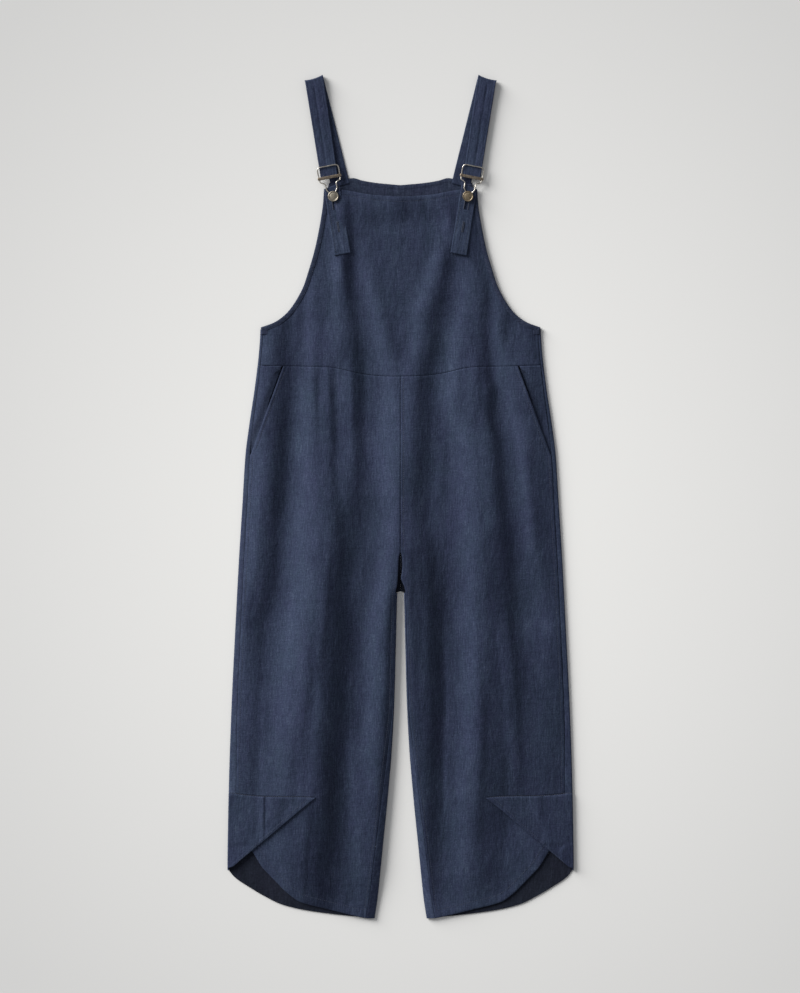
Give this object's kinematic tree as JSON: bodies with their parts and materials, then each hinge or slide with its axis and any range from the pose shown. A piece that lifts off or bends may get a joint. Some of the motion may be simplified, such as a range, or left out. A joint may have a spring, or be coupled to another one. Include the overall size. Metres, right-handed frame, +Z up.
{
  "type": "overalls",
  "caption": "Wide-legged linen overalls laid flat, with a bib, folded straps on wire buckles and buttons, slant pockets and tulip-shaped wrapped hems.",
  "frame": {"origin": "on the surface that the garment lies on, under the centre of its outline", "axes": "+Y from the hems to the straps, +Z up from the surface out of the front of the garment, +X to the right as seen from above"},
  "size_m": [0.5536, 1.3487, 0.0128],
  "materials": {
    "linen": "matte navy linen with a fine slubby plain weave",
    "wire_metal": "worn nickel, warm",
    "slide_metal": "antique brass",
    "button_metal": "worn antique brass, plain face"
  },
  "bodies": {
    "root": {"front_bib": "linen", "back_bib": "linen", "front_leg_left": "linen", "front_leg_right": "linen", "back_leg_left": "linen", "back_leg_right": "linen", "pocket_facing_left": "linen", "pocket_facing_right": "linen", "hem_petal_left": "linen", "hem_petal_right": "linen", "armhole_band_front_left": "linen", "armhole_band_front_right": "linen", "armhole_band_back_left": "linen", "armhole_band_back_right": "linen", "strap_left": "linen", "strap_right": "linen", "strap_end_left": "linen", "strap_end_right": "linen", "buckle_left": "wire_metal", "slide_left": "slide_metal", "button_left": "button_metal", "buckle_right": "wire_metal", "slide_right": "slide_metal", "button_right": "button_metal"}
  },
  "joints": []
}
